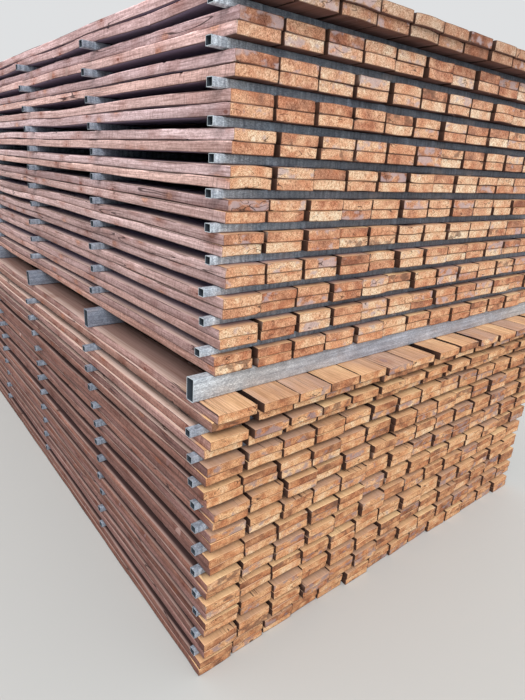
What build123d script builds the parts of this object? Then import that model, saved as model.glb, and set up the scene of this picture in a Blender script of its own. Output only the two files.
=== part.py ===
from build123d import *
import os
import random

# A kiln stack of sawn boards in two packs. Each pack is a pile of layers two boards thick, kept apart
# by rows of steel tubes (stickers), and the upper pack stands on a row of larger tubes (bearers).
# Millimetres, +Z up. The boards run along Y, with their near ends towards -Y, and a layer is laid out
# along X from its left side. The origin is on the ground, under the middle of the whole stack.

# Boards
BOARD_LENGTH = 5500.0
BOARD_WIDTH = 150.0
BOARD_THICKNESS = 34.0
BOARD_ARRIS = 1.5
BOARDS_ACROSS = 14
COURSES = ("bottom", "top")

# Open joints between neighbouring boards: their mean width, how far one may differ from it, the least,
# and those of the ledge from the left
MEAN_JOINT = 10.0
JOINT_SPREAD = 9.0
LEAST_JOINT = 3.0
LEDGE_JOINTS = (20.0, 3.0, 3.0, 3.0, 3.0, 3.0, 33.0, 20.0, 14.0, 8.0, 8.0, 6.0, 8.0)

# The boards were stacked in pairs, one on the other. How far a pair's ends stand out or in, how far each
# board differs from its pair in that and sideways, and how many pairs take up a course's offset at the left
PAIR_SCATTER = 8.0
END_SCATTER = 3.0
SIDE_SCATTER = 0.4
OFFSET_PAIRS = 4

# Stickers: tubes across the boards, in level rows
STICKER_BREADTH = 30.0
STICKER_HEIGHT = 26.0
STICKER_WALL = 2.0
STICKER_CORNER = 3.0
STICKER_COLUMNS = 7
STICKER_SPARE = 70.0
STICKER_SCATTER = 4.0

# Bearers: the tubes that carry the upper pack and leave room for forks
BEARER_BREADTH = 40.0
BEARER_HEIGHT = 80.0
BEARER_WALL = 3.0
BEARER_CORNER = 5.0
BEARER_SPARE = 110.0
BEARER_LEFT_END = -5.0

# How the packs stand, measured from the lower pack's near left corner: their near ends, and the left
# sides of each layer's bottom and top course and of the stickers on it, lowest first
LOWER_END = 0.0
UPPER_END = 55.0
LOWER_SIDES = (
    (-16.0, -13.0),
    (-5.0, -2.0),
    (0.0, 3.0),
    (0.0, -3.0),
    (-2.0, 2.0),
    (14.0, 11.0),
    (18.0, 20.0),
    (17.0, 22.0),
    (-2.0, -11.0),
    (-11.0, -7.0),
    (-11.0, -1.0),
    (8.0, 17.0),
)
UPPER_SIDES = (
    (64.0, 59.0),
    (66.0, 66.0),
    (74.0, 75.0),
    (84.0, 80.0),
    (74.0, 78.0),
    (80.0, 89.0),
    (88.0, 89.0),
    (94.0, 99.0),
    (84.0, 87.0),
    (93.0, 91.0),
    (91.0, 99.0),
    (94.0, 96.0),
)
LOWER_STICKER_ENDS = (-16.0, -15.0, -9.0, -16.0, -13.0, -14.0, -14.0, -17.0, -30.0, -34.0, -37.0)
UPPER_STICKER_ENDS = (21.0, 36.0, 34.0, 51.0, 45.0, 51.0, 58.0, 56.0, 52.0, 47.0, 45.0)

# How far in from the boards' ends the first tubes of each pack and the last ones stand
LOWER_SETBACK = 60.0
UPPER_SETBACK = 50.0
FAR_SETBACK = 150.0

# How far the first and the last board of a course stand out beyond their pack's near end. The ledge is
# the course under the bearers.
LEDGE_LAYER = f"lower_pack_layer_{len(LOWER_SIDES):02d}"
LEDGE = LEDGE_LAYER + "_top_boards"
REACHES = {
    "lower_pack_layer_01_bottom_boards": (-22.0, 0.0),
    "lower_pack_layer_01_top_boards": (-18.0, 0.0),
    "lower_pack_layer_11_top_boards": (20.0, 25.0),
    LEDGE_LAYER + "_bottom_boards": (12.0, 36.0),
    LEDGE: (32.0, 60.0),
    "upper_pack_layer_01_bottom_boards": (-10.0, 0.0),
    "upper_pack_layer_01_top_boards": (-8.0, 0.0),
    "upper_pack_layer_11_bottom_boards": (8.0, 12.0),
    "upper_pack_layer_11_top_boards": (8.0, 12.0),
    "upper_pack_layer_12_bottom_boards": (50.0, 50.0),
    "upper_pack_layer_12_top_boards": (60.0, 60.0),
}

PACK_WIDTH = BOARDS_ACROSS * BOARD_WIDTH + (BOARDS_ACROSS - 1) * MEAN_JOINT
LAYER_HEIGHT = len(COURSES) * BOARD_THICKNESS
LAYER_PITCH = LAYER_HEIGHT + STICKER_HEIGHT
BEARER_BASE = len(LOWER_SIDES) * LAYER_PITCH - STICKER_HEIGHT
UPPER_BASE = BEARER_BASE + BEARER_HEIGHT


def columns(end, setback):
    """Middles of the tubes under or in a pack whose near end is at end."""
    spacing = (BOARD_LENGTH - setback - FAR_SETBACK) / (STICKER_COLUMNS - 1)
    return [end + setback + i * spacing for i in range(STICKER_COLUMNS)]


def uneven_joints(draw):
    """A layer's joints, as uneven as hand stacking leaves them, which add up to nearly the same width."""
    joints = [MEAN_JOINT + JOINT_SPREAD * draw.uniform(-1, 1) for _ in range(BOARDS_ACROSS - 1)]
    excess = sum(joints) / (BOARDS_ACROSS - 1) - MEAN_JOINT
    return [max(LEAST_JOINT, joint - excess) for joint in joints]


def pair_corners(layer, sides, end):
    """Near left corners (x, y) of a layer's pairs of boards."""
    draw = random.Random(layer)
    joints = uneven_joints(draw)
    if layer == LEDGE_LAYER:
        joints = [*LEDGE_JOINTS, *joints[len(LEDGE_JOINTS):]][:len(joints)]
    x = sum(sides) / len(sides)
    corners = []
    for joint in joints + [0.0]:
        corners.append((x, end + PAIR_SCATTER * draw.uniform(-1, 1)))
        x += BOARD_WIDTH + joint
    return corners


def board_corners(name, side, pairs):
    """Near left corners (x, y) of one course's boards, whose first one's left side is at side."""
    draw = random.Random(name)
    first, last = REACHES.get(name, (0.0, 0.0))
    offset = side - pairs[0][0]
    corners = []
    for i, (x, y) in enumerate(pairs):
        x += offset * max(0.0, 1 - i / OFFSET_PAIRS) + SIDE_SCATTER * draw.uniform(-1, 1)
        y += END_SCATTER * draw.uniform(-1, 1)
        corners.append((x, y - first - (last - first) * i / (BOARDS_ACROSS - 1)))
    return corners


def course_places():
    """Each course's name, level and board corners, for both packs from the ground up."""
    places = []
    packs = (("lower", LOWER_SIDES, LOWER_END, 0.0), ("upper", UPPER_SIDES, UPPER_END, UPPER_BASE))
    for pack, layers, end, base in packs:
        for number, sides in enumerate(layers):
            layer = f"{pack}_pack_layer_{number + 1:02d}"
            pairs = pair_corners(layer, sides, end)
            for i, (course, side) in enumerate(zip(COURSES, sides)):
                name = f"{layer}_{course}_boards"
                level = base + number * LAYER_PITCH + i * BOARD_THICKNESS
                places.append((name, level, board_corners(name, side, pairs)))
    return places


def sticker_places(pack, left_ends, middles, base):
    """Left ends (x, y, z) of a pack's stickers: one row on every layer but the last."""
    draw = random.Random(f"{pack}_stickers")
    places = []
    for layer, left_end in enumerate(left_ends):
        level = base + layer * LAYER_PITCH + LAYER_HEIGHT
        for y in middles:
            left = left_end + STICKER_SCATTER * draw.uniform(-1, 1)
            places.append((left, y + STICKER_SCATTER * draw.uniform(-1, 1), level))
    return places


upper_columns = columns(UPPER_END, UPPER_SETBACK)
courses = course_places()
lower_stickers = sticker_places("lower", LOWER_STICKER_ENDS, columns(LOWER_END, LOWER_SETBACK), 0.0)
upper_stickers = sticker_places("upper", UPPER_STICKER_ENDS, upper_columns, UPPER_BASE)
bearers = [(BEARER_LEFT_END, y, BEARER_BASE) for y in upper_columns]
sticker_length = PACK_WIDTH + STICKER_SPARE
bearer_length = PACK_WIDTH + BEARER_SPARE

# The middle of everything that is laid out above, which becomes the origin
corners = [corner for _, _, course in courses for corner in course]
tube_spans = [(x, x + sticker_length) for x, _, _ in lower_stickers + upper_stickers]
tube_spans += [(x, x + bearer_length) for x, _, _ in bearers]
left = min([x for x, _ in corners] + [span[0] for span in tube_spans])
right = max([x + BOARD_WIDTH for x, _ in corners] + [span[1] for span in tube_spans])
near = min(y for _, y in corners)
far = max(y for _, y in corners) + BOARD_LENGTH
centre = ((left + right) / 2, (near + far) / 2)


def located(places):
    """Locations at (x, y, z) places, seen from the origin."""
    return Locations(*[(x - centre[0], y - centre[1], z) for x, y, z in places])


def save(part, name):
    part.label = name
    export_step(part, f"parts/{name}.step")


os.makedirs("parts", exist_ok=True)

# One board, its near left corner on the ground at the origin and its long arrises eased
with BuildPart() as board:
    with BuildSketch(Plane.XZ) as section:
        RectangleRounded(BOARD_WIDTH, BOARD_THICKNESS, BOARD_ARRIS, align=(Align.MIN, Align.MIN))
    extrude(amount=-BOARD_LENGTH)

for name, level, course_corners in courses:
    with BuildPart() as course:
        with located([(x, y, level) for x, y in course_corners]):
            add(board.part)
    save(course.part, name)

# One sticker and one bearer: open tubes along X, standing on the ground, centred on Y
with BuildPart() as sticker:
    with BuildSketch(Plane.YZ):
        RectangleRounded(STICKER_BREADTH, STICKER_HEIGHT, STICKER_CORNER, align=(Align.CENTER, Align.MIN))
        with Locations((0, STICKER_HEIGHT / 2)):
            RectangleRounded(
                STICKER_BREADTH - 2 * STICKER_WALL,
                STICKER_HEIGHT - 2 * STICKER_WALL,
                STICKER_CORNER - STICKER_WALL,
                mode=Mode.SUBTRACT,
            )
    extrude(amount=sticker_length)

with BuildPart() as bearer:
    with BuildSketch(Plane.YZ):
        RectangleRounded(BEARER_BREADTH, BEARER_HEIGHT, BEARER_CORNER, align=(Align.CENTER, Align.MIN))
        with Locations((0, BEARER_HEIGHT / 2)):
            RectangleRounded(
                BEARER_BREADTH - 2 * BEARER_WALL,
                BEARER_HEIGHT - 2 * BEARER_WALL,
                BEARER_CORNER - BEARER_WALL,
                mode=Mode.SUBTRACT,
            )
    extrude(amount=bearer_length)

for name, tube, places in (
    ("lower_pack_stickers", sticker, lower_stickers),
    ("upper_pack_stickers", sticker, upper_stickers),
    ("pack_bearers", bearer, bearers),
):
    with BuildPart() as tubes:
        with located(places):
            add(tube.part)
    save(tubes.part, name)
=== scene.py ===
"""The looks of a kiln stack of sawn boards on steel tubes, in metres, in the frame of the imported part."""
import random
from math import radians

import bpy
import numpy as np
from mathutils import Euler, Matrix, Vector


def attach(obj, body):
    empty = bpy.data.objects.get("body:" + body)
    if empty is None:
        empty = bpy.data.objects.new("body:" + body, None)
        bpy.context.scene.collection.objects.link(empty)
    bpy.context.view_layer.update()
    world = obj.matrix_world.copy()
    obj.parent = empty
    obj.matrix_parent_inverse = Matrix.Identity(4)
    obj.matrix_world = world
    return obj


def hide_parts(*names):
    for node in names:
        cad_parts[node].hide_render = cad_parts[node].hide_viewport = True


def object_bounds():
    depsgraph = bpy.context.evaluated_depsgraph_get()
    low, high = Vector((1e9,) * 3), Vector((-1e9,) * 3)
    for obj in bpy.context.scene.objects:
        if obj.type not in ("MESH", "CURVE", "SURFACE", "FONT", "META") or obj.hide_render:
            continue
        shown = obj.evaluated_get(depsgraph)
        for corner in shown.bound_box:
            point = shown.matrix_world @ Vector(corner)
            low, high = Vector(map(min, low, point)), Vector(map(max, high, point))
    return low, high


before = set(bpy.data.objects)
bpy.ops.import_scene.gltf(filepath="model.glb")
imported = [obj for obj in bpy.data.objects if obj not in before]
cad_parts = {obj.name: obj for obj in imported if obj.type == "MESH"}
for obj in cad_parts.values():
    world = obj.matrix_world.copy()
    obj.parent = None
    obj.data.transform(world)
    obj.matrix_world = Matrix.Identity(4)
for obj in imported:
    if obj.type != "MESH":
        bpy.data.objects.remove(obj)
cad_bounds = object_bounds()

# The photograph's camera: where it stands in metres, how it is turned in degrees, lens and sensor in mm
CAMERA_PLACE = (-1.928, -3.9335, 1.824)
CAMERA_TURN = (70.0, -3.0, -38.16)
CAMERA_LENS = 26.57
SENSOR = 36.0

# Soft studio light: a wide key from the front and above, and an even surrounding
KEY_STRENGTH = 1.75
KEY_TURN = (48.0, 0.0, -33.0)
KEY_SPREAD = 35.0
SURROUND_COLOUR = (0.93, 0.97, 1.0, 1.0)
SURROUND_STRENGTH = 0.84
BACKDROP_COLOUR = (0.74, 0.75, 0.76, 1.0)
FLOOR_COLOUR = (0.63, 0.62, 0.595, 1.0)
FLOOR_REACH = 60.0

# Boards: section, arris, band round an end, and how many faces go across and up a section
BOARD_WIDTH = 0.150
BOARD_THICKNESS = 0.034
ARRIS = 0.0015
END_BAND = 0.0045
ACROSS_STEPS = 8
UP_STEPS = 2

# Distances from a board's end at which its section is set, and the step along the boards that show
END_STATIONS = (0.0, 0.0015, 0.007, 0.025, 0.09)
STATION_STEP = 0.12

# How uneven the boards are: a pair's bow and slits between columns of tubes, a pair's cup and a board's
# own, room above a pair, how much narrower than their solids, waves in sides (and the hidden boards'
# share of them) and in thickness, and how far ends are out of square, as slopes across and up
BOW = 0.0060
SLIT = 0.006
CUP = 0.0016
OWN_CUP = 0.0005
SLACK = 0.0008
NARROWER = 0.0009
SIDE_WAVE = 0.0016
HIDDEN_SIDE_WAVE = 0.25
THICKNESS_WAVE = 0.006
END_SKEW = 0.022
END_LEAN = 0.05

# Wear: of the sawn faces, of the arrises and of the ends
SURFACE_ROUGHNESS = 0.00022
ARRIS_WEAR = 0.0006
END_WEAR = 0.0004

# Chips at the ends and tear-outs along the edges: chance or number, reach along the board, and depth
CHIP_CHANCE = 0.5
CHIP_REACH = (0.006, 0.03)
CHIP_DEPTH = (0.0015, 0.005)
TEARS = 4
TEAR_LENGTH = 0.018
TEAR_DEPTH = 0.0042

# Splinters: the limit of their number at an end, their number along a side, their lengths and
# thicknesses, and tufts of fibres at the ends
END_SPLINTERS = 2.4
SIDE_SPLINTERS = 2
END_SPLINTER_LENGTH = (0.004, 0.011)
END_SPLINTER_THICKNESS = (0.0003, 0.0006)
SIDE_SPLINTER_LENGTH = (0.01, 0.03)
SIDE_SPLINTER_THICKNESS = 0.0006
TUFT_CHANCE = 0.16
TUFT_FIBRES = 26
TUFT_SPREAD = 0.014

# Kinds of faces of a board: covered upper ones, lower ones, long sides that show, ends, sides in the
# joints, and the upper faces that show on the ledge and on top of the stack
COVERED, UNDER, SIDE, END, JOINT, LEDGE_TOP, STACK_TOP = range(7)

# Heights, as shares of all the layers: where the lower pack's looks give way to the upper pack's, where
# its last layers turn paler as the painted shade in their slots draws back, and from where layers are seen
# from below
PACKS = (0.46, 0.54)
PALER = (0.36, 0.43)
EYE_LEVEL = 0.81

# How much darker the lower pack's boards get from left to right, and a pair's top board than its bottom one
DARKER_RIGHTWARDS = 0.20
TOP_DARKER = 0.16

# Growth rings' spacing, and how many places for a knot there are to a metre across the wide faces
RING_SPACING = 0.0056
KNOT_PLACES = 4.4

# Tubes: sections, distances from an end at which they are set, the room left round them, how much their
# ends are out of square, and the dent in the first bearer's open end
COLUMN_COUNT = 7
TUBE_CORNER_STEPS = 3
TUBE_STATIONS = (0.0, 0.0006, 0.012, 0.05, 0.3, 0.9)
TUBE_TRIM = 0.0002
TUBE_SKEW = 0.02
BEARER_DENT = 0.005
STICKER_WALL = 0.002
STICKER_CORNER = 0.003
BEARER_WALL = 0.003
BEARER_CORNER = 0.005

# Painted shade on the zinc, from 0 to 1: in the first column, which is SAME_COLUMN deep, and behind it
FRONT_PAINTED_SHADE = {"lower_pack_stickers": 0.7, "upper_pack_stickers": 0.0, "pack_bearers": 0.0}
BACK_PAINTED_SHADE = 1.0
SAME_COLUMN = 0.2


def placed(name, data):
    """A new object in the scene."""
    made = bpy.data.objects.new(name, data)
    bpy.context.scene.collection.objects.link(made)
    return made


def solid_boxes(node):
    """Lowest and highest corners of each separate solid of a CAD node."""
    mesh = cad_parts[node].data
    points = np.empty(len(mesh.vertices) * 3)
    mesh.vertices.foreach_get("co", points)
    points = points.reshape(-1, 3)
    places, point_place = np.unique(np.round(points, 5), axis=0, return_inverse=True)
    point_place = point_place.ravel()
    ends = np.empty(len(mesh.edges) * 2, int)
    mesh.edges.foreach_get("vertices", ends)
    ends = point_place[ends.reshape(-1, 2)]
    group = np.arange(len(places))
    settled = False
    while not settled:
        joined = group.copy()
        lowest = np.minimum(group[ends[:, 0]], group[ends[:, 1]])
        np.minimum.at(joined, ends[:, 0], lowest)
        np.minimum.at(joined, ends[:, 1], lowest)
        joined = joined[joined]
        settled = np.array_equal(joined, group)
        group = joined
    boxes = []
    for root in np.unique(group):
        own = places[group == root]
        boxes.append((own.min(axis=0), own.max(axis=0)))
    return boxes


def columns_of(node, count):
    """Middles along Y of the rows of tubes in a node."""
    middles = np.sort([(low[1] + high[1]) / 2 for low, high in solid_boxes(node)])
    return middles.reshape(count, -1).mean(axis=1)


class Form:
    """Collects closed forms with values on their points and faces, and makes one piece of them."""

    def __init__(self, point_values, face_values):
        self.points, self.corners, self.sizes = [], [], []
        self.values = {name: [] for name in point_values + face_values}
        self.point_values = point_values
        self.count = 0

    def add(self, points, faces, **values):
        """Adds points and a list of face arrays, each with one row for a face."""
        self.points.append(points)
        total = sum(len(face) for face in faces)
        for face in faces:
            self.corners.append((face + self.count).ravel())
            self.sizes.append(np.full(len(face), face.shape[1]))
        for name, rows in self.values.items():
            length = len(points) if name in self.point_values else total
            value = np.asarray(values[name], float)
            if value.ndim == 0 or value.shape == (3,):
                value = np.broadcast_to(value, (length,) + value.shape)
            rows.append(value)
        self.count += len(points)

    def piece(self, name, material):
        """The object that holds everything added so far."""
        points = np.clip(np.concatenate(self.points), *np.array(cad_bounds))
        corners = np.concatenate(self.corners)
        sizes = np.concatenate(self.sizes)
        mesh = bpy.data.meshes.new(name)
        mesh.vertices.add(len(points))
        mesh.vertices.foreach_set("co", points.ravel())
        mesh.loops.add(len(corners))
        mesh.loops.foreach_set("vertex_index", corners)
        mesh.polygons.add(len(sizes))
        mesh.polygons.foreach_set("loop_start", np.concatenate(([0], np.cumsum(sizes)[:-1])))
        mesh.update(calc_edges=True)
        for value_name, rows in self.values.items():
            value = np.concatenate(rows)
            domain = "POINT" if value_name in self.point_values else "FACE"
            kind, field = ("FLOAT_VECTOR", "vector") if value.ndim == 2 else ("FLOAT", "value")
            mesh.attributes.new(value_name, kind, domain).data.foreach_set(field, value.ravel())
        mesh.validate()
        mesh.materials.append(material)
        return placed(name, mesh)


def tunnel(stations, around):
    """Faces between rings of points, which run counter-clockwise seen from the first ring's front."""
    ring, point = np.meshgrid(np.arange(stations - 1), np.arange(around), indexing="ij")
    here = ring * around + point
    beside = ring * around + (point + 1) % around
    return np.stack([here, here + around, beside + around, beside], axis=-1).reshape(-1, 4)


def waves(y, draw, size, lengths):
    """A smooth uneven line along y, up to about size either way."""
    total = np.zeros_like(y)
    for length in lengths:
        total += np.sin(2 * np.pi * (y / length + draw.random()))
    return total * size / len(lengths)


def bays(y, columns, lifts):
    """Shift at places y that is nought at each column and reaches lifts halfway between two."""
    bay = np.clip(np.searchsorted(columns, y) - 1, 0, len(columns) - 2)
    share = np.clip((y - columns[bay]) / (columns[bay + 1] - columns[bay]), 0, 1)
    return np.asarray(lifts)[bay] * 16 * share**2 * (1 - share) ** 2


# Faces of a board's cap, shared by every board, from the ring's and the inner grid's point numbers
ROUND = 2 * (ACROSS_STEPS + 1) + 2 * (UP_STEPS + 1)


def cap_faces():
    """Quads and triangles that close a ring with a grid inside it. The grid's points follow the ring's."""
    across, up = ACROSS_STEPS, UP_STEPS
    bottom = np.arange(across + 1)
    right = across + 1 + np.arange(up + 1)
    top = (across + 1 + up + 1 + np.arange(across + 1))[::-1]
    left = (2 * (across + 1) + up + 1 + np.arange(up + 1))[::-1]
    grid = ROUND + np.arange((across + 1) * (up + 1)).reshape(up + 1, across + 1)
    quads = []
    for i in range(across):
        quads.append((bottom[i], bottom[i + 1], grid[0, i + 1], grid[0, i]))
        quads.append((grid[up, i], grid[up, i + 1], top[i + 1], top[i]))
        quads += [(grid[j, i], grid[j, i + 1], grid[j + 1, i + 1], grid[j + 1, i]) for j in range(up)]
    for j in range(up):
        quads.append((grid[j, across], right[j], right[j + 1], grid[j + 1, across]))
        quads.append((left[j], grid[j, 0], grid[j + 1, 0], left[j + 1]))
    triangles = [
        (left[0], bottom[0], grid[0, 0]),
        (bottom[across], right[0], grid[0, across]),
        (grid[up, across], right[up], top[across]),
        (left[up], grid[up, 0], top[0]),
    ]
    return np.array(quads), np.array(triangles)


CAP_QUADS, CAP_TRIANGLES = cap_faces()


def section(width, height):
    """Points round a board's section and of the grid inside it: across, up, and the way outwards."""
    across = np.linspace(ARRIS, width - ARRIS, ACROSS_STEPS + 1)
    up = np.linspace(ARRIS, height - ARRIS, UP_STEPS + 1)
    ring_across = np.concatenate([across, np.full(UP_STEPS + 1, width), across[::-1], np.zeros(UP_STEPS + 1)])
    ring_up = np.concatenate([np.zeros(ACROSS_STEPS + 1), up, np.full(ACROSS_STEPS + 1, height), up[::-1]])
    out_across = np.repeat([0.0, 1.0, 0.0, -1.0], [ACROSS_STEPS + 1, UP_STEPS + 1] * 2)
    out_up = np.repeat([-1.0, 0.0, 1.0, 0.0], [ACROSS_STEPS + 1, UP_STEPS + 1] * 2)
    inner_up = np.clip(up, END_BAND, height - END_BAND)
    grid_up, grid_across = np.meshgrid(inner_up, np.clip(across, END_BAND, width - END_BAND), indexing="ij")
    return ring_across, ring_up, out_across, out_up, grid_across.ravel(), grid_up.ravel()


def stations_of(length, draw, shown):
    """Distances from the near end of a board's sections and of its tear-outs."""
    ends = np.array(END_STATIONS)
    tears = []
    middle = []
    if shown:
        middle = list(np.arange(ends[-1] + STATION_STEP, length - ends[-1] - STATION_STEP / 2, STATION_STEP))
        tears = [draw.uniform(2 * STATION_STEP, length - 2 * STATION_STEP) for _ in range(TEARS)]
    for tear in tears:
        middle += [tear - TEAR_LENGTH, tear, tear + 0.7 * TEAR_LENGTH]
    return np.concatenate([ends, np.sort(middle), length - ends[::-1]]), tears


def cup_line(share, cup):
    """Height of a cupped face above its lowest line. Share runs from -1 to 1 across the board."""
    return cup * (1 - share**2) if cup > 0 else -cup * share**2


def add_board(form, low, high, shape, draw):
    """One rough-sawn board in the place of its CAD solid. Shape says how it is warped."""
    width = high[0] - low[0] - NARROWER * draw.uniform(0.3, 1)
    height = shape["height"]
    length = high[1] - low[1]
    across, up, out_across, out_up, grid_across, grid_up = section(width, height)
    along, tears = stations_of(length, draw, shape["shown"])
    rings, around = len(along), len(across)
    numbers = np.random.default_rng(draw.randrange(2**32))

    # The sawn surface, rougher on the arrises and at the ends
    corner = np.zeros(around)
    turns = np.cumsum([0, ACROSS_STEPS + 1, UP_STEPS + 1, ACROSS_STEPS + 1])
    corner[turns] = corner[turns - 1] = 1
    inward = SURFACE_ROUGHNESS * numbers.standard_normal((rings, around)) * (1 + corner)
    inward += np.abs(numbers.standard_normal((rings, around))) * corner * ARRIS_WEAR
    inward[along <= 0.0] += ARRIS_WEAR
    inward[along >= length] += ARRIS_WEAR
    fresh = np.zeros((rings, around))

    # Chips where a corner of an end broke away
    for end in (0.0, length):
        if draw.random() < CHIP_CHANCE:
            middle = draw.choice(list(turns)) + draw.choice((-1, 0))
            reach = draw.uniform(*CHIP_REACH)
            bite = np.clip(1 - np.abs(along - end) / reach, 0, 1)
            spread = np.zeros(around)
            spread[middle % around], spread[(middle + 1) % around] = 1.0, draw.uniform(0.2, 0.9)
            inward += draw.uniform(*CHIP_DEPTH) * bite[:, None] * spread
            fresh = np.maximum(fresh, bite[:, None] * spread)

    # Tear-outs along the lower and upper arrises of the sides
    for tear in tears:
        bite = np.clip(1 - np.abs(along - tear) / (0.8 * TEAR_LENGTH), 0, 1)
        side = draw.choice((0, 0, 1, 2, 3))
        first = turns[side]
        depth = TEAR_DEPTH * draw.uniform(0.4, 1)
        for point, share in ((first, 0.8), (first - 1, 1.0)):
            inward[:, point] += depth * share * bite

    # Where each ring's points lie
    away_from_ends = np.minimum(along, length - along) > 0.02
    thickness = 1 + waves(along, draw, THICKNESS_WAVE, (1.3, 0.7)) * away_from_ends
    x = low[0] + shape["inset"] + across - out_across * inward
    x += (waves(along, draw, SIDE_WAVE, (2.9, 1.1, 0.45)) - SIDE_WAVE * 0.3)[:, None] * shape["sideways"]
    share = 2 * across / width - 1
    z = shape["base"] + up * thickness[:, None] - out_up * inward
    z += cup_line(share, shape["cup"])
    world_along = low[1] + along
    z += bays(world_along, shape["columns"], shape["lifts"])[:, None]

    # The ends are cut a little out of square, and only ever shorter than the solid
    skew, lean = END_SKEW * draw.gauss(0, 0.5), END_LEAN * draw.gauss(0, 0.5)
    ends_y = []
    for sign, face in ((1, 0.0), (-1, length)):
        tilt = skew * (across - width / 2) + lean * (up - height / 2)
        inner = skew * (grid_across - width / 2) + lean * (grid_up - height / 2)
        unevenness = END_WEAR * np.abs(numbers.standard_normal(len(inner)))
        least = min((tilt * sign).min(), (inner * sign).min())
        ends_y.append((sign * (tilt * sign - least), face + sign * (inner * sign - least + unevenness)))
        skew, lean = END_SKEW * draw.gauss(0, 0.5), END_LEAN * draw.gauss(0, 0.5)
    first_fade = np.clip(1 - along / END_STATIONS[-1], 0, 1)[:, None]
    last_fade = np.clip(1 - (length - along) / END_STATIONS[-1], 0, 1)[:, None]
    y = low[1] + along[:, None] + first_fade * ends_y[0][0] + last_fade * ends_y[1][0]

    ring_points = np.stack([x, y, z], axis=-1)
    caps = []
    for ring, (_, cap_y) in zip((0, -1), ends_y):
        cap_x = x[ring].min() + grid_across * (np.ptp(x[ring]) / width)
        lift = z[ring].min() + grid_up * (np.ptp(up) / height)
        lift += cup_line(2 * grid_across / width - 1, shape["cup"])
        caps.append(np.stack([cap_x, low[1] + cap_y, lift], axis=-1))
    points = np.concatenate([ring_points.reshape(-1, 3)] + caps)

    # The cap's point numbers run round the ring and then through its own grid
    ring_numbers = np.arange(around)
    grid_count = len(grid_across)
    grid_numbers = rings * around + np.arange(grid_count)
    near_map = np.concatenate([ring_numbers, grid_numbers])
    far_map = np.concatenate([(rings - 1) * around + ring_numbers, grid_numbers + grid_count])
    faces = [tunnel(rings, around), near_map[CAP_QUADS], near_map[CAP_TRIANGLES]]
    faces += [far_map[CAP_QUADS][:, ::-1], far_map[CAP_TRIANGLES][:, ::-1]]
    cap_total = 2 * (len(CAP_QUADS) + len(CAP_TRIANGLES))
    beside = np.roll(out_across, -1)
    facing = np.where(out_across == beside, out_across, out_across + beside)
    band = np.where(facing == 0, UNDER, np.where(facing == shape["open_side"], SIDE, JOINT))
    band[(facing == 0) & (out_up > 0)] = shape["top_kind"]
    kinds = np.concatenate([np.tile(band, rings - 1), np.full(cap_total, END)])

    # Grain runs along the board about a pith that lies beside it
    pith = np.array(shape["pith"])
    place = points - np.array([low[0] + width / 2, low[1], low[2] + height / 2])
    grain = place - np.array([pith[0], 0.0, pith[1]])
    grain[:, 1] += shape["seed"]
    end_distance = np.minimum(place[:, 1], length - place[:, 1])
    freshness = np.concatenate([fresh.ravel(), np.zeros(2 * grid_count)])

    # Place on the section: across, from the side that shows, and up
    on_across = np.concatenate([np.tile(across, rings), grid_across, grid_across])
    on_up = np.concatenate([np.tile(up, rings), grid_up, grid_up])
    from_side = {-1: on_across, 0: np.full_like(on_across, width), 1: width - on_across}[shape["open_side"]]
    spot = np.stack([on_across * BOARD_WIDTH / width, from_side, on_up * BOARD_THICKNESS / height], axis=-1)
    values = {"grain": grain, "board": shape["tones"], "spot": spot, "depth": end_distance}
    form.add(points, faces, **values, fresh=freshness, kind=kinds)


def add_splinter(form, root, along, out, thick, shape, fresh):
    """A thin sliver of wood from root, along one way and bent outwards."""
    along, out = np.array(along, float), np.array(out, float)
    side = np.cross(along, out)
    side /= np.linalg.norm(side)
    reach = np.linalg.norm(along)
    points = np.array([
        root - side * thick,
        root + side * thick,
        root + out * thick,
        root + along * 0.55 + out * 0.08 * reach - side * thick * 0.5,
        root + along * 0.55 + out * 0.12 * reach + side * thick * 0.5,
        root + along + out * 0.25 * reach,
    ])
    triangles = [(0, 2, 1), (0, 1, 4), (0, 4, 3), (1, 2, 4), (2, 0, 3), (2, 3, 4), (3, 4, 5), (4, 3, 5)]
    grain = points + np.array([0.05, shape["seed"], 0.05])
    middle = np.array([BOARD_WIDTH / 2, 0.0, BOARD_THICKNESS / 2])
    values = {"grain": grain, "board": shape["tones"], "spot": middle, "depth": 0.0}
    form.add(points, [np.array(triangles)], **values, fresh=fresh, kind=SIDE)


def course_names():
    """The nodes of boards, by pack and layer from the ground up, as (bottom, top) pairs."""
    names = sorted(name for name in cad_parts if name.endswith("_boards"))
    return [(name, name.replace("_bottom_", "_top_")) for name in names if "_bottom_" in name]


BOARD_POINT_VALUES = ["grain", "board", "spot", "depth", "fresh"]


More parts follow.
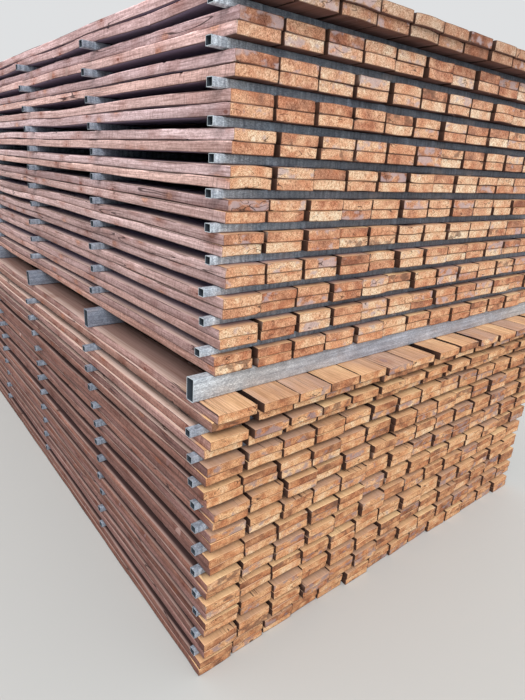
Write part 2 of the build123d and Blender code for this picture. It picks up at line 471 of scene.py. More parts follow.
def build_layer(pair, place, total, top_kind, material):
    """Both courses of a layer, board on board, warped together and seated on the tubes below."""
    columns = COLUMNS["lower" if pair[0].startswith("lower") else "upper"]
    draw = random.Random(pair[0])
    boxes = [sorted(solid_boxes(name), key=lambda box: box[0][0]) for name in pair]
    across = len(boxes[0])
    layer_bow = [draw.uniform(-1, 0.45) * BOW for _ in columns[1:]]
    last, first = place == total - 1, place == 0
    layer_height = place / (total - 1)
    forms = [Form(BOARD_POINT_VALUES, ["kind"]) for _ in pair]
    for i in range(across):
        open_side = -1 if i == 0 else 1 if i == across - 1 else 0
        low, high = boxes[0][i][0], boxes[1][i][1]
        cup = draw.gauss(0.2, 1) * CUP
        cups = [cup + draw.gauss(0, 1) * OWN_CUP for _ in pair]
        share = np.linspace(-1, 1, 9)
        lines = [cup_line(share, cup) for cup in cups]
        between = max(0.0, (lines[0] - lines[1]).max())
        slack = SLACK * draw.random()
        height = (high[2] - low[2] - between - lines[1].max() - slack) / 2
        slits = np.array([max(0.0, draw.uniform(-0.7, 1)) * SLIT for _ in columns[1:]])
        bow = np.array([value + draw.uniform(-0.3, 0.3) * BOW for value in layer_bow])
        if first:
            bow *= 0
        if last:
            bow = -np.abs(bow) - slits
        if not open_side:
            slits *= 0.3
        darker_rightwards = DARKER_RIGHTWARDS * (i / across - 0.25) * pair[0].startswith("lower")
        for course, (form, cup) in enumerate(zip(forms, cups)):
            low, high = boxes[course][i]
            shown = open_side != 0 or (last and course == 1)
            shape = {
                "height": height,
                "base": boxes[0][i][0][2] + course * (height + between),
                "inset": NARROWER / 2 * draw.random(),
                "cup": cup,
                "columns": columns,
                "lifts": (bow + course * slits) * shown,
                "sideways": 1.0 if open_side else HIDDEN_SIDE_WAVE,
                "shown": shown,
                "open_side": open_side,
                "top_kind": top_kind if course == 1 else COVERED,
                "pith": (draw.uniform(-0.09, 0.09), draw.choice((-1, 1)) * draw.uniform(0.012, 0.09)),
                "seed": draw.uniform(0, 90),
                "tones": (
                    draw.random() * (1 - TOP_DARKER) + TOP_DARKER * course + darker_rightwards,
                    draw.random(),
                    layer_height,
                ),
            }
            add_board(form, low, high, shape, draw)
            add_splinters(form, low, high, shape, draw)
    for name, form in zip(pair, forms):
        finish_piece(form.piece(name.replace("_boards", "_sawn_boards"), material), name)


def add_splinters(form, low, high, shape, draw):
    """Slivers and tufts on the edges of a board's ends, and slivers along the sides that show."""
    base, top = shape["base"], shape["base"] + shape["height"]
    for near in (True, False):
        way = 1 if near else -1
        edge = low[1] if near else high[1]
        slivers = int(END_SPLINTERS * draw.random())
        tuft = TUFT_FIBRES if draw.random() < TUFT_CHANCE else 0
        middle = draw.uniform(low[0] + 0.03, high[0] - 0.03)
        over = draw.random() < 0.65
        for count in range(slivers + tuft):
            in_tuft = count >= slivers
            x = draw.gauss(middle, TUFT_SPREAD) if in_tuft else draw.uniform(low[0] + 0.01, high[0] - 0.01)
            x = min(max(x, low[0] + 0.004), high[0] - 0.004)
            y = edge + way * draw.uniform(0.003, 0.008)
            root = np.array([x, y, top - 0.0012 if over else base + 0.0012])
            length = draw.uniform(*END_SPLINTER_LENGTH)
            out = (draw.uniform(-0.7, 0.7), -way * draw.uniform(0, 0.5), 1 if over else -1)
            along = (draw.uniform(-0.5, 0.5) * length, -way * 0.5 * length, out[2] * 0.6 * length)
            thick = draw.uniform(*END_SPLINTER_THICKNESS)
            add_splinter(form, root, along, out, thick, shape, 1.0 if in_tuft else 0.6)
    if shape["open_side"] and base > 0.1:
        for _ in range(SIDE_SPLINTERS):
            y = draw.uniform(low[1] + 0.05, high[1] - 0.05)
            x = low[0] + 0.003 if shape["open_side"] < 0 else high[0] - 0.004
            lift = bays(np.array([y]), shape["columns"], shape["lifts"])[0]
            root = np.array([x, y, base + 0.001 + lift])
            along = (0, draw.uniform(*SIDE_SPLINTER_LENGTH), 0)
            out = (0.4 * shape["open_side"], 0, -1)
            add_splinter(form, root, along, out, SIDE_SPLINTER_THICKNESS, shape, 0.2)


def rounded_ring(breadth, height, radius):
    """Points round a tube's section, centred on its breadth, from its lower right corner."""
    points = []
    for turn, (y, z) in enumerate(((1, 0), (1, 1), (-1, 1), (-1, 0))):
        middle = np.array([y * (breadth / 2 - radius), radius + z * (height - 2 * radius)])
        for step in range(TUBE_CORNER_STEPS + 1):
            angle = np.pi / 2 * (turn - 1 + step / TUBE_CORNER_STEPS)
            points.append(middle + radius * np.array([np.cos(angle), np.sin(angle)]))
    return np.array(points)


def add_tube(form, low, high, wall, corner, draw, painted_shade, dent):
    """One open steel tube in the place of its CAD solid, a little out of square, its left end dented."""
    breadth, height, length = high[1] - low[1], high[2] - low[2], high[0] - low[0]
    outer = rounded_ring(breadth - 2 * TUBE_TRIM, height - 2 * TUBE_TRIM, corner)
    inner = rounded_ring(breadth - 2 * wall, height - 2 * wall, corner - wall)
    inner += np.array([0, wall - TUBE_TRIM])
    stations = np.concatenate([TUBE_STATIONS, length - np.array(TUBE_STATIONS)[::-1]])
    around = len(outer)
    cuts = [draw.gauss(0, TUBE_SKEW), draw.gauss(0, TUBE_SKEW)]
    rings = []
    for section_points in (outer, inner):
        ring = np.empty((len(stations), around, 3))
        ring[:, :, 1] = (low[1] + high[1]) / 2 + section_points[:, 0]
        ring[:, :, 2] = low[2] + TUBE_TRIM + section_points[:, 1]
        ring[:, :, 0] = low[0] + stations[:, None]
        for sign, cut in zip((1, -1), cuts):
            tilt = cut * section_points[:, 0] + cut * 0.5 * (section_points[:, 1] - height / 2)
            tilt = sign * (tilt * sign - (tilt * sign).min())
            distance = stations if sign == 1 else length - stations
            ring[:, :, 0] += np.clip(1 - distance / 0.03, 0, 1)[:, None] * tilt
        if dent:
            inwards = np.clip(1 - stations / 0.06, 0, 1)[:, None]
            up = section_points[:, 1] / height
            facing = section_points[:, 0] < 0
            ring[:, :, 1] += dent * inwards * np.sin(np.pi * up) ** 2 * facing
            ring[:, :, 0] += 0.5 * dent * inwards * np.sin(2.4 * np.pi * up) * facing
        rings.append(ring)
    count = len(stations) * around
    points = np.concatenate([ring.reshape(-1, 3) for ring in rings])
    outside = tunnel(len(stations), around)[:, ::-1]
    inside = tunnel(len(stations), around) + count
    k = np.arange(around)
    beside = (k + 1) % around
    far = count - around
    low_cap = np.stack([k, k + count, beside + count, beside], axis=-1)
    high_cap = np.stack([k, beside, beside + count, k + count], axis=-1) + far
    faces = [outside, inside, low_cap, high_cap]
    kinds = np.repeat([0.0, 1.0, 2.0], [len(outside), len(inside), 2 * around])
    local = points - np.array([low[0], (low[1] + high[1]) / 2, low[2]])
    from_end = np.minimum(local[:, 0], length - local[:, 0])
    local[:, 0] += draw.uniform(0, 90)
    form.add(points, faces, steel=local, depth=from_end, tone=painted_shade, kind=kinds)


def build_tubes(node, wall, corner, material):
    """Every tube of a node, from the ground up and from the near end to the far one."""
    draw = random.Random(node)
    form = Form(["steel", "depth"], ["tone", "kind"])
    boxes = sorted(solid_boxes(node), key=lambda box: (round(box[0][2], 3), box[0][1]))
    first_y = boxes[0][0][1]
    for place, (low, high) in enumerate(boxes):
        dent = BEARER_DENT if node == "pack_bearers" and place == 0 else 0.0
        # Tubes behind the first column stand in the pack's shade and get painted shade
        painted_shade = BACK_PAINTED_SHADE if low[1] > first_y + SAME_COLUMN else FRONT_PAINTED_SHADE[node]
        add_tube(form, low, high, wall, corner, draw, painted_shade, dent)
    finish_piece(form.piece(node + "_steel", material), node)


def finish_piece(piece, node):
    """The piece rides with the stack and stands for its CAD node."""
    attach(piece, "root")
    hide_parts(node)


class Shading:
    """A material's nodes, written as short calls that each return the output wanted next."""

    def __init__(self, name):
        self.material = bpy.data.materials.new(name)
        self.material.use_nodes = True
        self.tree = self.material.node_tree
        self.shader = self.tree.nodes["Principled BSDF"]

    def put(self, socket, value):
        if isinstance(value, bpy.types.NodeSocket):
            self.tree.links.new(value, socket)
        else:
            socket.default_value = value

    def node(self, kind, output=0, inputs=(), **settings):
        made = self.tree.nodes.new("ShaderNode" + kind)
        for name, value in settings.items():
            setattr(made, name, value)
        for name, value in dict(inputs).items():
            self.put(made.inputs[name], value)
        return made.outputs[output]

    def surface(self, **values):
        for name, value in values.items():
            self.put(self.shader.inputs[name.replace("_", " ")], value)

    def value(self, name):
        return self.node("Attribute", "Fac", attribute_name=name)

    def vector(self, name):
        return self.node("Attribute", "Vector", attribute_name=name)

    def parts(self, vector):
        made = self.tree.nodes.new("ShaderNodeSeparateXYZ")
        self.put(made.inputs[0], vector)
        return made.outputs

    def join(self, x=0.0, y=0.0, z=0.0):
        return self.node("CombineXYZ", inputs={0: x, 1: y, 2: z})

    def math(self, operation, a, b=0.0):
        return self.node("Math", inputs={0: a, 1: b}, operation=operation)

    def times(self, a, b):
        return self.math("MULTIPLY", a, b)

    def plus(self, a, b):
        return self.math("ADD", a, b)

    def minus(self, a, b):
        return self.math("SUBTRACT", a, b)

    def off(self, value, middle):
        return self.math("ABSOLUTE", self.minus(value, middle))

    def stretch(self, vector, scale):
        return self.node("VectorMath", inputs={0: vector, 1: scale}, operation="MULTIPLY")

    def shift(self, vector, other):
        return self.node("VectorMath", inputs={0: vector, 1: other}, operation="ADD")

    def noise(self, vector, scale, detail=2.0, rough=0.5, output="Fac"):
        """Noise of one scale, or of one for each axis."""
        if isinstance(scale, tuple):
            vector, scale = self.stretch(vector, scale), 1.0
        inputs = {"Vector": vector, "Scale": scale, "Detail": detail, "Roughness": rough}
        return self.node("TexNoise", output, inputs)

    def cells(self, vector, scale, output="Distance", **settings):
        return self.node("TexVoronoi", output, {"Vector": vector, "Scale": scale}, **settings)

    def scattered(self, place, scale):
        """Distance from the nearest of many scattered points in a plane, and that point's own number."""
        distance = self.cells(place, scale, voronoi_dimensions="2D")
        return distance, self.parts(self.cells(place, scale, "Color", voronoi_dimensions="2D"))[0]

    def matches(self, value, other):
        return self.node("Math", inputs={0: value, 1: other, 2: 0.25}, operation="COMPARE")

    def range(self, value, low, high, to_low=0.0, to_high=1.0):
        inputs = {"Value": value, "From Min": low, "From Max": high, "To Min": to_low, "To Max": to_high}
        return self.node("MapRange", inputs=inputs, interpolation_type="SMOOTHSTEP")

    def varied(self, value, low, high, spread=0.14, middle=(1.0, 1.0, 1.0)):
        """Colours from low to high where value is spread below or above a half, and middle between."""
        return self.ramp(value, [(0.5 - spread, low), (0.5, middle), (0.5 + spread, high)])

    def ramp(self, value, stops):
        made = self.tree.nodes.new("ShaderNodeValToRGB")
        elements = made.color_ramp.elements
        while len(elements) < len(stops):
            elements.new(0.5)
        for element, (place, colour) in zip(elements, stops):
            element.position = place
            element.color = (*colour, 1.0)
        self.put(made.inputs[0], value)
        return made.outputs["Color"]

    def mix(self, share, a, b, blend="MIX"):
        made = self.tree.nodes.new("ShaderNodeMix")
        made.data_type = "RGBA"
        made.blend_type = blend
        for place, value in ((0, share), (6, a), (7, b)):
            self.put(made.inputs[place], (*value, 1.0) if isinstance(value, tuple) else value)
        return made.outputs[2]

    def multiply(self, a, b, share=1.0):
        return self.mix(share, a, b, "MULTIPLY")

    def tinted(self, colour, tint, share):
        """The colour, multiplied by the tint where share is 1."""
        return self.mix(share, colour, self.multiply(colour, tint))

    def bump(self, height, distance, strength):
        inputs = {"Height": height, "Distance": distance, "Strength": strength}
        self.surface(Normal=self.node("Bump", inputs=inputs))


def wood_figure(wood, grain):
    """Growth rings and knots, and the lines drawn out along a board, by name."""
    x, y, z = wood.parts(grain)[:3]
    wander = wood.noise(wood.join(y=wood.times(y, 1.1)), 1.0, 2.0, 0.5, "Color")
    wander = wood.stretch(wood.shift(wander, (-0.5, -0.5, -0.5)), (0.07, 0.0, 0.07))
    flat = wood.stretch(wood.shift(grain, wander), (1.0, 0.0, 1.0))
    radius = wood.node("VectorMath", "Value", {0: flat}, operation="LENGTH")
    across = wood.plus(x, wood.times(z, 0.4))
    along = wood.plus(wood.times(y, 0.75), wood.times(z, 0.3))
    distance, pick = wood.scattered(wood.join(across, along), KNOT_PLACES)
    size = wood.range(pick, 0.35, 1.0, 0.0, 0.075)
    knot = wood.range(wood.math("DIVIDE", distance, wood.math("MAXIMUM", size, 0.001)), 1.0, 0.7)
    about_knot = wood.times(wood.range(distance, 0.32, 0.03), wood.range(pick, 0.35, 0.4))
    uneven = wood.noise(grain, (9.0, 0.8, 9.0), 3.0)
    ring_place = wood.plus(radius, wood.plus(wood.times(uneven, 0.02), wood.times(about_knot, 0.012)))
    ring = wood.math("FRACT", wood.math("DIVIDE", ring_place, RING_SPACING))
    check = wood.noise(grain, (34.0, 1.7, 34.0), 1.0)
    check = wood.range(wood.off(check, 0.5), 0.012, 0.004)
    where = wood.noise(grain, (7.0, 1.0, 7.0), 1.0)
    return {
        "late": wood.times(wood.range(ring, 0.35, 0.88), wood.range(ring, 1.0, 0.93)),
        "knot": knot,
        "knot_pick": pick,
        "about_knot": about_knot,
        "fibre": wood.noise(grain, (330.0, 11.0, 330.0), 4.0, 0.75),
        "streak": wood.noise(grain, (110.0, 1.9, 110.0), 4.0, 0.65),
        "check": wood.times(check, wood.range(where, 0.58, 0.62)),
    }


def near_edge(wood, spot, wide, narrow):
    """1 at the edges of a board's section and 0 from wide metres inside them."""
    across, _, up = wood.parts(spot)[:3]
    edges = []
    for value, size in ((across, BOARD_WIDTH), (up, BOARD_THICKNESS)):
        edges.append(wood.minus(size / 2, wood.off(value, size / 2)))
    return wood.range(wood.math("MINIMUM", *edges), wide, narrow)


def end_grain(wood, figure, grain, spot, tone, second, height):
    """Colour and relief of the ends: flecked cream to red-brown, soft blotches, grey patches and cracks."""
    soft = wood.noise(wood.stretch(grain, (1.0, 0.25, 1.3)), 17.0, 2.0, 0.55)
    fleck = wood.noise(wood.stretch(grain, (1.0, 0.3, 1.0)), 125.0, 3.0, 0.75)
    fuzz = wood.noise(wood.stretch(grain, (1.0, 0.3, 1.0)), 250.0, 4.0, 0.9)
    blotch = wood.times(wood.minus(soft, 0.40), wood.range(height, *PACKS, 1.75, 1.15))
    shade = wood.plus(wood.times(tone, wood.range(height, *PACKS, 0.56, 0.76)), blotch)
    lower = wood.ramp(shade, [
        (0.00, (0.88, 0.59, 0.355)), (0.28, (0.795, 0.450, 0.228)),
        (0.50, (0.66, 0.330, 0.157)), (0.74, (0.44, 0.195, 0.094)),
        (1.00, (0.22, 0.093, 0.047)),
    ])
    upper = wood.ramp(shade, [
        (0.00, (0.95, 0.685, 0.455)), (0.28, (0.870, 0.545, 0.333)),
        (0.50, (0.79, 0.430, 0.245)), (0.74, (0.57, 0.255, 0.140)),
        (1.00, (0.30, 0.130, 0.078)),
    ])
    colour = wood.mix(wood.range(height, *PACKS), lower, upper)
    # Painted light by height: a little darker near the ground, a blue cast higher up, and painted shade on
    # the topmost layer's ends
    light_by_height = wood.ramp(height, [
        (0.00, (0.94, 0.93, 0.93)), (0.45, (1.03, 1.02, 1.02)),
        (0.55, (0.98, 0.97, 0.95)), (0.86, (1.02, 1.06, 1.11)),
        (0.98, (0.92, 0.96, 1.06)), (1.00, (0.67, 0.68, 0.74)),
    ])
    colour = wood.multiply(colour, light_by_height)
    spots = wood.ramp(wood.plus(wood.times(fuzz, 0.55), wood.times(fleck, 0.45)), [
        (0.37, (0.36, 0.27, 0.24)), (0.45, (0.82, 0.77, 0.75)),
        (0.54, (1.09, 1.12, 1.13)), (0.63, (1.45, 1.66, 1.88)),
    ])
    colour = wood.multiply(colour, spots, wood.range(height, 0.46, 0.56, 0.80, 1.0))
    colour = wood.mix(1.0, colour, (0.97, 0.86, 0.72), "DARKEN")
    red = wood.range(wood.noise(wood.shift(grain, (2.0, 0.0, 7.0)), 16.0, 2.0), 0.46, 0.62)
    colour = wood.tinted(colour, (0.88, 0.68, 0.60), wood.times(red, 0.7))
    colour = wood.mix(wood.times(figure["late"], 0.22), colour, (0.34, 0.15, 0.08))
    patch = wood.noise(wood.stretch(grain, (1.0, 0.4, 1.5)), 24.0, 3.0, 0.5)
    limit = wood.range(second, 0.35, 1.0, 0.76, 0.47)
    grey = wood.range(wood.minus(patch, limit), -0.02, 0.12)
    stain = wood.mix(wood.range(height, *PACKS), (0.30, 0.235, 0.255), (0.52, 0.41, 0.42))
    colour = wood.mix(wood.times(grey, 0.66), colour, stain)
    limit = wood.range(second, 0.0, 0.16, 0.46, 0.80)
    dark = wood.range(wood.minus(patch, limit), 0.0, 0.12)
    colour = wood.mix(wood.times(dark, 0.7), colour, (0.17, 0.085, 0.055))
    crack = wood.noise(grain, (9.0, 0.4, 26.0), 2.0)
    crack = wood.range(wood.off(crack, 0.5), 0.009, 0.003)
    where = wood.noise(wood.shift(grain, (5.0, 0.0, 3.0)), 14.0, 1.0)
    crack = wood.times(crack, wood.range(where, 0.56, 0.62))
    colour = wood.mix(wood.times(crack, 0.85), colour, (0.06, 0.03, 0.02))
    # A dark band along the ends' edges: painted shade of the slits between the boards
    edge_shade = wood.times(near_edge(wood, spot, 0.0030, 0.0008), wood.range(fleck, 0.35, 0.6, 0.25, 0.85))
    colour = wood.mix(edge_shade, colour, (0.10, 0.045, 0.03))
    relief = wood.plus(wood.times(fuzz, 0.9), wood.times(fleck, 0.7))
    return colour, wood.minus(relief, crack)


def long_side(wood, figure, grain, spot, tone, second, height):
    """Colour of the long sides that show: pinkish brown with saw marks across, lines along, and knots."""
    x, y, z = wood.parts(grain)[:3]
    # By height: darker towards the ground and paler and bluer higher up, partly the packs' own colour and
    # partly painted shade low down and a painted sky sheen high up
    colour = wood.ramp(height, [
        (0.00, (0.255, 0.126, 0.103)), (0.38, (0.275, 0.140, 0.118)),
        (0.47, (0.400, 0.235, 0.208)), (0.54, (0.450, 0.282, 0.262)),
        (0.70, (0.590, 0.400, 0.375)), (0.84, (0.760, 0.540, 0.530)),
        (1.00, (0.720, 0.475, 0.460)),
    ])
    even = wood.varied(tone, (1.16, 1.15, 1.13), (0.78, 0.73, 0.71), 0.5, (1.0, 0.99, 0.98))
    uneven = wood.varied(tone, (1.26, 1.26, 1.26), (0.62, 0.57, 0.55), 0.5, (0.96, 0.95, 0.94))
    colour = wood.multiply(colour, wood.mix(wood.range(height, *PACKS), uneven, even))
    long_patch = wood.noise(grain, (1.0, 0.9, 1.0), 2.0)
    colour = wood.multiply(colour, wood.varied(long_patch, (0.80, 0.77, 0.76), (1.10, 1.11, 1.11), 0.12))
    warm = wood.varied(second, (1.08, 1.00, 0.90), (0.94, 0.98, 1.04), 0.5)
    colour = wood.multiply(colour, warm)
    lines = [(0.34, (0.70, 0.65, 0.64)), (0.50, (1.03, 1.03, 1.03)), (0.64, (1.20, 1.23, 1.24))]
    colour = wood.multiply(colour, wood.ramp(figure["streak"], lines))
    fine = wood.varied(figure["fibre"], (0.70, 0.64, 0.63), (1.22, 1.27, 1.29))
    colour = wood.multiply(colour, fine)
    saw_place = wood.join(wood.times(x, 5.0), wood.times(wood.plus(y, wood.times(z, 0.25)), 130.0))
    saw = wood.noise(saw_place, 1.0, 3.0, 0.7)
    patch = wood.noise(grain, (2.0, 2.6, 2.0), 2.0)
    sawn = wood.times(wood.range(saw, 0.52, 0.30), wood.range(patch, 0.40, 0.60, 0.10, 0.75))
    colour = wood.tinted(colour, (0.56, 0.50, 0.50), sawn)
    mottle = wood.noise(wood.stretch(grain, (1.0, 0.6, 1.0)), 120.0, 3.0, 0.8)
    mottles = [(0.36, (0.80, 0.77, 0.76)), (0.52, (1.0, 1.0, 1.0)), (0.66, (1.18, 1.20, 1.21))]
    colour = wood.multiply(colour, wood.ramp(mottle, mottles))

    # Knots, each with a darker halo, and a few of them pale
    knot_place = wood.join(wood.times(y, 6.0), wood.plus(wood.times(z, 12.0), wood.times(x, 3.0)))
    distance, pick = wood.scattered(knot_place, 1.0)
    size = wood.math("MAXIMUM", wood.range(pick, 0.35, 1.0, 0.0, 0.17), 0.001)
    about = wood.times(wood.range(distance, 0.46, 0.12), wood.range(pick, 0.40, 0.60, 0.0, 0.75))
    colour = wood.tinted(colour, (0.76, 0.62, 0.57), about)
    knot = wood.range(wood.math("DIVIDE", distance, size), 1.0, 0.6, 0.0, 0.9)
    hearts = [(0.50, (0.46, 0.28, 0.23)), (0.80, (0.66, 0.47, 0.39)), (0.93, (1.34, 1.22, 1.00))]
    colour = wood.tinted(colour, wood.ramp(pick, hearts), knot)

    # The lower arris is painted dark as shade, and the upper one gets a painted highlight in places and
    # painted shade in others
    up = wood.parts(spot)[2]
    unevenness = wood.noise(grain, (1.0, 2.2, 1.0), 3.0)
    lower = wood.times(wood.range(up, 0.0040, 0.0018), wood.range(unevenness, 0.35, 0.55, 0.55, 0.95))
    colour = wood.mix(lower, colour, (0.055, 0.026, 0.024))
    upper = wood.range(up, BOARD_THICKNESS - 0.0036, BOARD_THICKNESS - 0.0018)
    pale = wood.multiply(colour, (1.50, 1.55, 1.57))
    edge = wood.mix(wood.range(unevenness, 0.46, 0.54), (0.075, 0.038, 0.035), pale)
    return wood.mix(wood.times(upper, 0.85), colour, edge), saw


def wide_face(wood, figure, grain, spot, second, height, depth, kind):
    """Colour of the wide faces: golden where they show, and painted dark as shade where boards and tubes
    cover them.
    """
    soft = wood.noise(grain, (9.0, 4.0, 9.0), 3.0, 0.6)
    shade = wood.plus(wood.times(second, 0.9), wood.times(wood.minus(soft, 0.4), 1.5))
    colour = wood.ramp(shade, [
        (0.00, (1.00, 0.68, 0.38)), (0.36, (0.88, 0.53, 0.29)),
        (0.66, (0.74, 0.43, 0.25)), (1.00, (0.62, 0.39, 0.28)),
    ])
    unlined = colour
    lines = wood.varied(figure["streak"], (0.80, 0.74, 0.69), (1.14, 1.18, 1.23))
    colour = wood.multiply(colour, lines)
    fine = wood.varied(figure["fibre"], (0.80, 0.75, 0.70), (1.16, 1.20, 1.24))
    colour = wood.multiply(colour, fine)
    colour = wood.mix(wood.times(figure["late"], 0.12), colour, (0.36, 0.16, 0.08))

    # Only the outermost strip of a covered face shows, golden at the ends and brown along the long sides;
    # the rest is painted shade, dark in the lower pack and violet in the upper one, and the strips at the
    # ends above eye level are painted dark as shade too
    from_side = wood.parts(spot)[1]
    browns = [(0.36, (0.42, 0.27, 0.23)), (0.43, (0.78, 0.55, 0.46)), (0.56, (0.56, 0.38, 0.33))]
    by_side = wood.multiply(wood.ramp(height, browns), lines)
    low_end = wood.multiply(wood.mix(0.3, unlined, colour), (1.02, 0.98, 0.93))
    by_end = wood.mix(wood.range(height, EYE_LEVEL - 0.05, EYE_LEVEL), low_end, (0.26, 0.16, 0.12))
    strip = wood.mix(wood.range(depth, 0.045, 0.085), by_end, by_side)
    inside = wood.mix(wood.range(height, *PACKS), (0.060, 0.030, 0.028), (0.250, 0.195, 0.340))
    shown_way = wood.range(height, *PALER, 0.016, 0.070)
    from_end = wood.times(depth, wood.range(height, 0.40, 0.46, 0.22, 1.0))
    from_edge = wood.math("MINIMUM", from_end, from_side)
    covered = wood.mix(wood.range(from_edge, 0.003, shown_way), strip, inside)

    # Undersides are painted dark as shade, a lighter brown near the ends, and above eye level the painted
    # shade has a violet cast
    above_eyes = wood.range(height, EYE_LEVEL - 0.03, EYE_LEVEL)
    under_shade = wood.mix(above_eyes, (0.06, 0.035, 0.03), (0.200, 0.150, 0.225))
    by_end = wood.multiply((0.150, 0.072, 0.058), lines)
    under_shade = wood.mix(wood.range(depth, 0.06, 0.25), by_end, under_shade)

    # The ledge is golden where it stands out, and painted shade turns it brown under the upper pack
    ledge = wood.multiply((0.30, 0.175, 0.145), lines)
    ledge = wood.mix(wood.range(from_side, 0.01, 0.05), wood.multiply(by_side, (0.85, 0.85, 0.85)), ledge)
    ledge = wood.mix(wood.range(depth, 0.10, 0.30), colour, ledge)
    colour = wood.mix(wood.matches(kind, LEDGE_TOP), colour, ledge)
    colour = wood.mix(wood.matches(kind, COVERED), colour, covered)
    return wood.mix(wood.matches(kind, UNDER), colour, under_shade)


def sawn_wood():
    """Rough-sawn softwood, by the kind of face."""
    wood = Shading("sawn_wood")
    grain, spot = wood.vector("grain"), wood.vector("spot")
    tone, second, height = wood.parts(wood.vector("board"))[:3]
    kind, depth, fresh = wood.value("kind"), wood.value("depth"), wood.value("fresh")
    figure = wood_figure(wood, grain)
    end, end_relief = end_grain(wood, figure, grain, spot, tone, second, height)
    side, saw = long_side(wood, figure, grain, spot, tone, second, height)
    face = wide_face(wood, figure, grain, spot, second, height, depth, kind)

    long_face = wood.mix(wood.matches(kind, SIDE), face, side)
    shown = wood.plus(wood.matches(kind, SIDE), wood.range(kind, JOINT + 0.6, JOINT + 0.8))
    about = wood.times(wood.range(figure["about_knot"], 0.45, 0.85), wood.times(shown, 0.4))
    long_face = wood.tinted(long_face, (0.66, 0.50, 0.46), about)
    knot_colour = wood.ramp(figure["knot_pick"], [
        (0.40, (0.20, 0.095, 0.070)), (0.62, (0.30, 0.190, 0.200)),
        (0.80, (0.24, 0.110, 0.080)), (0.95, (0.62, 0.420, 0.380)),
    ])
    long_face = wood.mix(wood.times(figure["knot"], wood.times(shown, 0.8)), long_face, knot_colour)
    long_face = wood.mix(wood.times(figure["check"], 0.85), long_face, (0.05, 0.025, 0.025))
    # Sides inside the joints are painted dark as shade, darker further from the end
    joint_shade = wood.mix(wood.range(depth, 0.0, 0.06), (0.085, 0.040, 0.027), (0.030, 0.014, 0.010))
    long_face = wood.mix(wood.matches(kind, JOINT), long_face, joint_shade)
    on_end = wood.matches(kind, END)
    colour = wood.mix(on_end, long_face, end)
    bare = wood.mix(wood.range(fresh, 0.55, 0.9), (0.60, 0.38, 0.29), (0.86, 0.72, 0.60))
    colour = wood.mix(wood.times(fresh, 0.6), colour, bare)

    relief = wood.plus(wood.times(figure["fibre"], 0.35), wood.times(saw, 0.4))
    relief = wood.minus(relief, wood.times(figure["check"], 1.2))
    wood.bump(wood.node("Mix", 0, {0: on_end, 2: relief, 3: end_relief}), 0.0011, 0.8)
    rough = wood.range(figure["fibre"], 0.2, 0.8, 0.72, 0.9)
    wood.surface(Base_Color=colour, Roughness=rough, Specular_IOR_Level=0.25)
    return wood.material


def galvanised(name, at_ends, inside, deep, shaded_tint, streaks, contrast):
    """Galvanised tube: scratched zinc with painted shade that leaves it pale at its open ends and darker
    further in, a bore painted dark as shade, and a rim painted pale as a highlight.
    """
    steel = Shading(name)
    place = steel.vector("steel")
    tone, kind, depth = steel.value("tone"), steel.value("kind"), steel.value("depth")
    in_bore, on_rim = steel.matches(kind, 1), steel.matches(kind, 2)
    spangle = steel.parts(steel.cells(place, 120.0, "Color"))[0]
    mottle = steel.noise(place, 24.0, 4.0, 0.6)
    streak = steel.noise(place, streaks, 3.0, 0.65)
    cloud = steel.noise(place, (3.0, 10.0, 14.0), 3.0, 0.6)
    # Painted shade: pale where the tube stands out at its ends, darker further in under the boards
    shifted = steel.plus(depth, steel.times(steel.minus(cloud, 0.5), 0.2))
    zinc = steel.mix(steel.range(shifted, 0.05, 0.20), at_ends, inside)
    zinc = steel.mix(steel.range(shifted, 0.22, 0.75), zinc, deep)
    mottled = steel.ramp(mottle, [(0.36, (0.86, 0.86, 0.87)), (0.64, (1.12, 1.12, 1.12))])
    zinc = steel.multiply(zinc, mottled)
    # Painted shade: a darker, bluer tint as far as tone says the tube stands in shade
    zinc = steel.tinted(zinc, shaded_tint, tone)
    streaked = steel.ramp(streak, [(0.34, (0.58, 0.60, 0.64)), (0.66, (1.42, 1.42, 1.40))])
    zinc = steel.multiply(zinc, streaked, contrast)
    scratch = steel.noise(place, (130.0, 320.0, 320.0), 3.0, 0.85)
    scratches = [(0.36, (0.55, 0.57, 0.62)), (0.50, (1.0, 1.0, 1.0)), (0.62, (1.50, 1.50, 1.48))]
    scratched = steel.ramp(scratch, scratches)
    zinc = steel.multiply(zinc, scratched, steel.range(depth, 0.10, 0.30, 0.9, 0.7))
    zinc = steel.mix(steel.times(spangle, 0.05), zinc, (0.75, 0.78, 0.80))
    dust = steel.range(steel.noise(place, (9.0, 30.0, 24.0), 3.0), 0.56, 0.70)
    zinc = steel.mix(steel.times(dust, 0.22), zinc, (0.46, 0.38, 0.34))
    # The bore is painted dark as shade, and the rim pale as a painted highlight, dimmer on tubes in painted
    # shade
    colour = steel.mix(in_bore, zinc, (0.055, 0.07, 0.09))
    pale = steel.mix(tone, (0.62, 0.68, 0.72), (0.34, 0.38, 0.44))
    colour = steel.mix(on_rim, colour, pale)
    rough = steel.range(mottle, 0.3, 0.7, 0.42, 0.62)
    rough = steel.math("MAXIMUM", rough, steel.times(in_bore, 0.8))
    steel.bump(steel.plus(steel.times(mottle, 0.5), steel.times(spangle, 0.1)), 0.0005, 0.5)
    steel.surface(Base_Color=colour, Roughness=rough, Metallic=0.15)
    return steel.material


def plain(name, colour):
    """A matt material of one colour for the stage."""
    made = Shading(name)
    made.surface(Base_Color=colour, Roughness=0.9, Specular_IOR_Level=0.1)
    return made.material


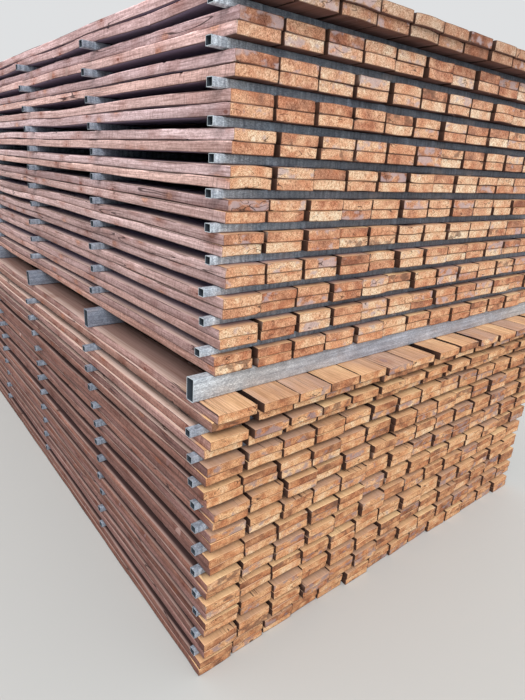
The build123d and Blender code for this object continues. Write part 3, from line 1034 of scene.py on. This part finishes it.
def build_stage():
    """A plain pale floor, a pale surrounding and one wide key light."""
    mesh = bpy.data.meshes.new("floor")
    r = FLOOR_REACH
    mesh.from_pydata([(-r, -r, 0), (r, -r, 0), (r, r, 0), (-r, r, 0)], [], [(0, 1, 2, 3)])
    mesh.materials.append(plain("floor", FLOOR_COLOUR))
    placed("floor", mesh)

    world = bpy.data.worlds.new("surround")
    world.use_nodes = True
    bpy.context.scene.world = world
    nodes, links = world.node_tree.nodes, world.node_tree.links
    light = nodes["Background"]
    light.inputs["Color"].default_value = SURROUND_COLOUR
    light.inputs["Strength"].default_value = SURROUND_STRENGTH
    seen = nodes.new("ShaderNodeBackground")
    seen.inputs["Color"].default_value = BACKDROP_COLOUR
    path = nodes.new("ShaderNodeLightPath")
    choice = nodes.new("ShaderNodeMixShader")
    shown = path.outputs["Is Camera Ray"]
    for ray in ("Is Glossy Ray", "Is Transmission Ray"):
        either = nodes.new("ShaderNodeMath")
        either.operation = "MAXIMUM"
        links.new(shown, either.inputs[0])
        links.new(path.outputs[ray], either.inputs[1])
        shown = either.outputs[0]
    links.new(shown, choice.inputs[0])
    links.new(light.outputs[0], choice.inputs[1])
    links.new(seen.outputs[0], choice.inputs[2])
    links.new(choice.outputs[0], nodes["World Output"].inputs["Surface"])

    key = placed("key", bpy.data.lights.new("key", "SUN"))
    key.data.energy = KEY_STRENGTH
    key.data.angle = radians(KEY_SPREAD)
    key.rotation_euler = Euler([radians(turn) for turn in KEY_TURN])


def build_camera():
    """The photograph's camera."""
    data = bpy.data.cameras.new("camera")
    data.lens = CAMERA_LENS
    data.sensor_width = SENSOR
    camera = placed("camera", data)
    camera.location = CAMERA_PLACE
    camera.rotation_euler = Euler([radians(turn) for turn in CAMERA_TURN])
    bpy.context.scene.camera = camera


COLUMNS = {
    "lower": columns_of("lower_pack_stickers", COLUMN_COUNT),
    "upper": columns_of("upper_pack_stickers", COLUMN_COUNT),
}

build_camera()
build_stage()
wood = sawn_wood()
layers = course_names()
ledge = max(place for place, pair in enumerate(layers) if pair[0].startswith("lower"))
top_kinds = {ledge: LEDGE_TOP, len(layers) - 1: STACK_TOP}
for place, pair in enumerate(layers):
    build_layer(pair, place, len(layers), top_kinds.get(place, COVERED), wood)
sticker_steel = galvanised(
    "sticker_steel",
    at_ends=(0.46, 0.50, 0.55),
    inside=(0.215, 0.25, 0.30),
    deep=(0.125, 0.140, 0.172),
    shaded_tint=(0.60, 0.63, 0.69),
    streaks=(75.0, 60.0, 9.0),
    contrast=1.0,
)
bearer_steel = galvanised(
    "bearer_steel",
    at_ends=(0.50, 0.54, 0.58),
    inside=(0.46, 0.470, 0.48),
    deep=(0.410, 0.435, 0.495),
    shaded_tint=(0.46, 0.48, 0.56),
    streaks=(5.0, 110.0, 110.0),
    contrast=0.6,
)
build_tubes("lower_pack_stickers", STICKER_WALL, STICKER_CORNER, sticker_steel)
build_tubes("upper_pack_stickers", STICKER_WALL, STICKER_CORNER, sticker_steel)
build_tubes("pack_bearers", BEARER_WALL, BEARER_CORNER, bearer_steel)

bpy.context.scene.view_settings.view_transform = "Standard"
